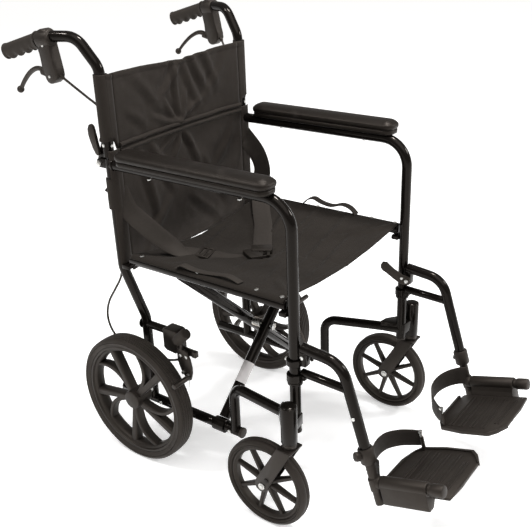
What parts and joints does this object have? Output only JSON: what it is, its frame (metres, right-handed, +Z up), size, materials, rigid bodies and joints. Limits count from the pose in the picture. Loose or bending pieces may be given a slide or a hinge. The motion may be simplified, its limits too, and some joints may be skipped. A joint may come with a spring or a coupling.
{
  "type": "transport wheelchair",
  "caption": "Folding transport wheelchair with sling seat and back, fold-down push handles with hand brakes, fixed arms and swing-away footrests.",
  "frame": {"origin": "on the ground under the middle of the chair's box", "axes": "+Z up, the chair faces -Y, +X to the occupant's left"},
  "size_m": [0.56, 1.0025, 0.964],
  "materials": {
    "frame_paint": "gloss black powder coat",
    "black_plastic": "satin moulded plastic",
    "lock_steel": "satin black",
    "tyre_rubber": "matt black",
    "grip_rubber": "matt, moulded finger waves",
    "arm_vinyl": "soft grained moulded skin",
    "upholstery": "woven nylon",
    "webbing": "flat woven webbing",
    "zinc": "bright zinc plate",
    "cable_sheath": "smooth black sheath"
  },
  "bodies": {
    "frame_right": {"side_frame_right": "frame_paint", "armrest_pad_right": "arm_vinyl", "rear_axle_right": "zinc", "brake_cable_right": "cable_sheath", "wheel_lock_bracket_right": "black_plastic", "belt_half_right": "webbing", "back_lower": "upholstery"},
    "front_brace": {"brace_a": "frame_paint", "pivot_bolt": "zinc", "seat_half_left": "upholstery"},
    "rear_brace": {"brace_b": "frame_paint", "seat_half_right": "upholstery"},
    "frame_left": {"side_frame_left": "frame_paint", "armrest_pad_left": "arm_vinyl", "rear_axle_left": "zinc", "brake_cable_left": "cable_sheath", "wheel_lock_bracket_left": "black_plastic", "belt_half_left": "webbing"},
    "back_right": {"back_cane_right": "frame_paint", "hand_grip_right": "grip_rubber", "brake_housing_right": "black_plastic", "back_upper": "upholstery"},
    "lever_right": {"brake_lever_right": "black_plastic"},
    "release_right": {"back_release_lever_right": "black_plastic"},
    "wheel_right": {"rear_wheel_right": "black_plastic", "rear_tyre_right": "tyre_rubber"},
    "lock_right": {"wheel_lock_right": "lock_steel"},
    "fork_right": {"caster_fork_right": "frame_paint", "caster_axle_right": "zinc"},
    "caster_right": {"caster_wheel_right": "black_plastic", "caster_tyre_right": "tyre_rubber"},
    "footrest_right": {"hanger_right": "frame_paint"},
    "catch_right": {"hanger_release_right": "black_plastic"},
    "slider_right": {"extension_right": "black_plastic", "heel_loop_right": "webbing"},
    "plate_right": {"footplate_right": "black_plastic"},
    "back_left": {"back_cane_left": "frame_paint", "hand_grip_left": "grip_rubber", "brake_housing_left": "black_plastic"},
    "lever_left": {"brake_lever_left": "black_plastic"},
    "release_left": {"back_release_lever_left": "black_plastic"},
    "wheel_left": {"rear_wheel_left": "black_plastic", "rear_tyre_left": "tyre_rubber"},
    "lock_left": {"wheel_lock_left": "lock_steel"},
    "fork_left": {"caster_fork_left": "frame_paint", "caster_axle_left": "zinc"},
    "caster_left": {"caster_wheel_left": "black_plastic", "caster_tyre_left": "tyre_rubber"},
    "footrest_left": {"hanger_left": "frame_paint"},
    "catch_left": {"hanger_release_left": "black_plastic"},
    "slider_left": {"extension_left": "black_plastic", "heel_loop_left": "webbing"},
    "plate_left": {"footplate_left": "black_plastic"}
  },
  "joints": [
    {"name": "fold", "type": "hinge", "parent": "frame_right", "child": "front_brace", "pos_m": [-0.18, 0.04816, 0.123], "axis": [0, -1, 0], "range_deg": [0, 35], "deforming": ["seat_half_left", "seat_half_right", "back_upper", "back_lower", "belt_half_left", "belt_half_right"]},
    {"name": "brace_cross", "type": "hinge", "parent": "front_brace", "child": "rear_brace", "pos_m": [0, 0.07316, 0.28992], "axis": [0, -1, 0], "range_deg": [-70, 0]},
    {"name": "frame_spread", "type": "hinge", "parent": "rear_brace", "child": "frame_left", "pos_m": [0.18, 0.09817, 0.123], "axis": [0, -1, 0], "range_deg": [0, 35]},
    {"name": "back_fold_right", "type": "hinge", "parent": "frame_right", "child": "back_right", "pos_m": [-0.219, 0.28617, 0.698], "axis": [-1, 0, 0], "range_deg": [0, 140], "deforming": ["brake_cable_right"]},
    {"name": "hand_brake_right", "type": "hinge", "parent": "back_right", "child": "lever_right", "pos_m": [-0.25, 0.38916, 0.878], "axis": [1, 0, 0], "range_deg": [0, 20], "stiffness_Nm_per_rad": 1},
    {"name": "back_release_right", "type": "hinge", "parent": "back_right", "child": "release_right", "pos_m": [-0.226, 0.28617, 0.716], "axis": [-1, 0, 0], "range_deg": [0, 20], "stiffness_Nm_per_rad": 0.5},
    {"name": "wheel_spin_right", "type": "hinge", "parent": "frame_right", "child": "wheel_right", "pos_m": [-0.233, 0.24816, 0.1525], "axis": [1, 0, 0], "continuous": true},
    {"name": "wheel_lock_turn_right", "type": "hinge", "parent": "frame_right", "child": "lock_right", "pos_m": [-0.2055, 0.12616, 0.287], "axis": [1, 0, 0], "range_deg": [0, 6]},
    {"name": "caster_swivel_right", "type": "hinge", "parent": "frame_right", "child": "fork_right", "pos_m": [-0.255, -0.18884, 0.25], "axis": [0, 0, 1], "continuous": true},
    {"name": "caster_spin_right", "type": "hinge", "parent": "fork_right", "child": "caster_right", "pos_m": [-0.255, -0.13184, 0.098], "axis": [1, 0, 0], "continuous": true},
    {"name": "hanger_swing_right", "type": "hinge", "parent": "frame_right", "child": "footrest_right", "pos_m": [-0.219, -0.18083, 0.36], "axis": [0, 0, -1], "range_deg": [0, 90]},
    {"name": "hanger_release_right", "type": "hinge", "parent": "footrest_right", "child": "catch_right", "pos_m": [-0.1947, -0.20114, 0.384], "axis": [0.9075, -0.42, 0], "range_deg": [0, 15], "stiffness_Nm_per_rad": 0.3},
    {"name": "footrest_length_right", "type": "slide", "parent": "footrest_right", "child": "slider_right", "axis": [0, -0.2996, -0.954], "range_m": [-0.015, 0.05]},
    {"name": "footplate_flip_right", "type": "hinge", "parent": "slider_right", "child": "plate_right", "pos_m": [-0.21, -0.35484, 0.165], "axis": [0, -0.9613, 0.2756], "range_deg": [0, 82.5], "deforming": ["heel_loop_right"]},
    {"name": "back_fold_left", "type": "hinge", "parent": "frame_left", "child": "back_left", "pos_m": [0.219, 0.28617, 0.698], "axis": [-1, 0, 0], "range_deg": [0, 140], "deforming": ["brake_cable_left"]},
    {"name": "hand_brake_left", "type": "hinge", "parent": "back_left", "child": "lever_left", "pos_m": [0.25, 0.38916, 0.878], "axis": [1, 0, 0], "range_deg": [0, 20], "stiffness_Nm_per_rad": 1},
    {"name": "back_release_left", "type": "hinge", "parent": "back_left", "child": "release_left", "pos_m": [0.226, 0.28617, 0.716], "axis": [-1, 0, 0], "range_deg": [0, 20], "stiffness_Nm_per_rad": 0.5},
    {"name": "wheel_spin_left", "type": "hinge", "parent": "frame_left", "child": "wheel_left", "pos_m": [0.233, 0.24816, 0.1525], "axis": [1, 0, 0], "continuous": true},
    {"name": "wheel_lock_turn_left", "type": "hinge", "parent": "frame_left", "child": "lock_left", "pos_m": [0.2055, 0.12616, 0.287], "axis": [1, 0, 0], "range_deg": [0, 6]},
    {"name": "caster_swivel_left", "type": "hinge", "parent": "frame_left", "child": "fork_left", "pos_m": [0.255, -0.18884, 0.25], "axis": [0, 0, 1], "continuous": true},
    {"name": "caster_spin_left", "type": "hinge", "parent": "fork_left", "child": "caster_left", "pos_m": [0.255, -0.13184, 0.098], "axis": [1, 0, 0], "continuous": true},
    {"name": "hanger_swing_left", "type": "hinge", "parent": "frame_left", "child": "footrest_left", "pos_m": [0.219, -0.18083, 0.36], "axis": [0, 0, 1], "range_deg": [0, 90]},
    {"name": "hanger_release_left", "type": "hinge", "parent": "footrest_left", "child": "catch_left", "pos_m": [0.1947, -0.20114, 0.384], "axis": [0.9075, 0.42, 0], "range_deg": [0, 15], "stiffness_Nm_per_rad": 0.3},
    {"name": "footrest_length_left", "type": "slide", "parent": "footrest_left", "child": "slider_left", "axis": [0, -0.2996, -0.954], "range_m": [-0.015, 0.05]},
    {"name": "footplate_flip_left", "type": "hinge", "parent": "slider_left", "child": "plate_left", "pos_m": [0.21, -0.35484, 0.165], "axis": [0, 0.9613, -0.2756], "range_deg": [0, 82.5], "deforming": ["heel_loop_left"]}
  ],
  "couplings": [
    {"joint": "brace_cross", "follows": "fold", "ratio": -2},
    {"joint": "frame_spread", "follows": "fold", "ratio": 1},
    {"joint": "wheel_lock_turn_right", "follows": "hand_brake_right", "ratio": 0.3},
    {"joint": "footplate_flip_right", "follows": "fold", "ratio": 2.3429},
    {"joint": "wheel_lock_turn_left", "follows": "hand_brake_left", "ratio": 0.3},
    {"joint": "footplate_flip_left", "follows": "fold", "ratio": 2.3429},
    {"joint": "back_fold_left", "follows": "back_fold_right", "ratio": 1}
  ]
}
